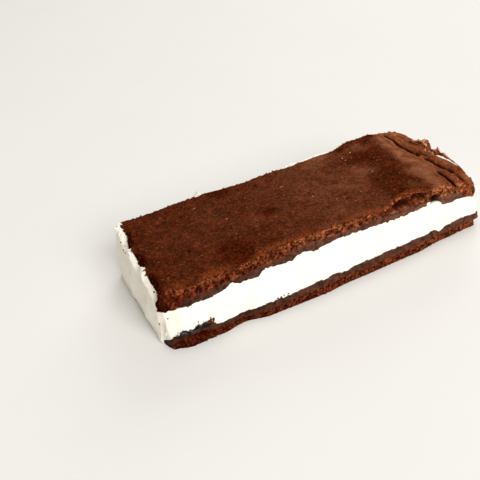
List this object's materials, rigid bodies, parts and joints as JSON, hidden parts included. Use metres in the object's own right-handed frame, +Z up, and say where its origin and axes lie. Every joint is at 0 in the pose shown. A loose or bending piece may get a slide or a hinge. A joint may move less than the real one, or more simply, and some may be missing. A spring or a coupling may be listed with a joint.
{
  "type": "cream-filled sponge bar",
  "caption": "Hand-cut oblong cake bar: thin chocolate sponges lined with dark chocolate above and below a thick white cream filling that also coats one end.",
  "frame": {"origin": "middle of the bar's underside, on the surface it rests on", "axes": "+X along the bar, away from the end that is coated with cream; +Y from the cut front to the back; +Z up"},
  "size_m": [0.1416, 0.0623, 0.0251],
  "materials": {
    "sponge": "dull brown cocoa skin, open reddish-brown crumb where cut",
    "dark_chocolate": "smooth, with a faint dull sheen",
    "cream": "smooth, soft and matt"
  },
  "bodies": {
    "root": {"sponge_bottom": "sponge", "chocolate_bottom": "dark_chocolate", "cream": "cream", "chocolate_top": "dark_chocolate", "sponge_top": "sponge"}
  },
  "joints": []
}
